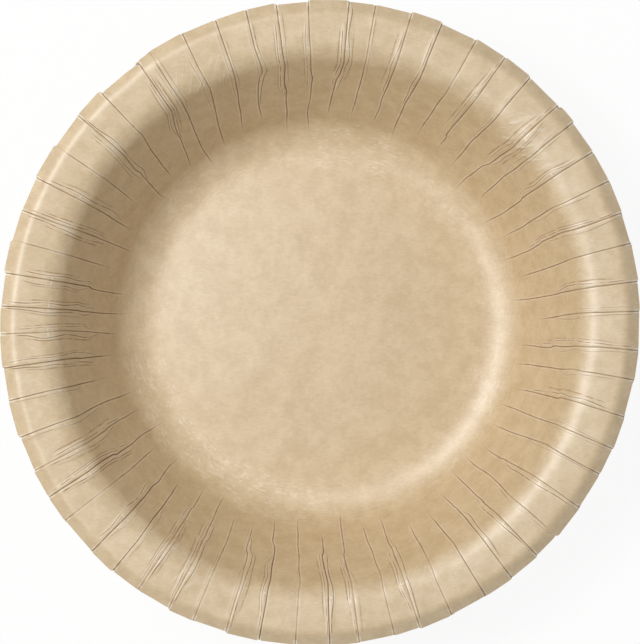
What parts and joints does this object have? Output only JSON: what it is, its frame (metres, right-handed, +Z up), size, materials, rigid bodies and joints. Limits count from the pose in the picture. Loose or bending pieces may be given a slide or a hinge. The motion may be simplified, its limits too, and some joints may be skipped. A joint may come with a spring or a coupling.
{
  "type": "deep paper plate",
  "caption": "Deep round paper plate with a pleated sloping wall, a rolled-over flange and a short turned-down skirt.",
  "frame": {"origin": "centre of the base, on the surface that the plate stands on", "axes": "+Z up out of the bowl; +X and +Y level, with the widest part of the slightly oval rim near +Y"},
  "size_m": [0.1842, 0.1858, 0.036],
  "materials": {
    "kraft_board": "satin"
  },
  "bodies": {
    "root": {"plate": "kraft_board"}
  },
  "joints": []
}
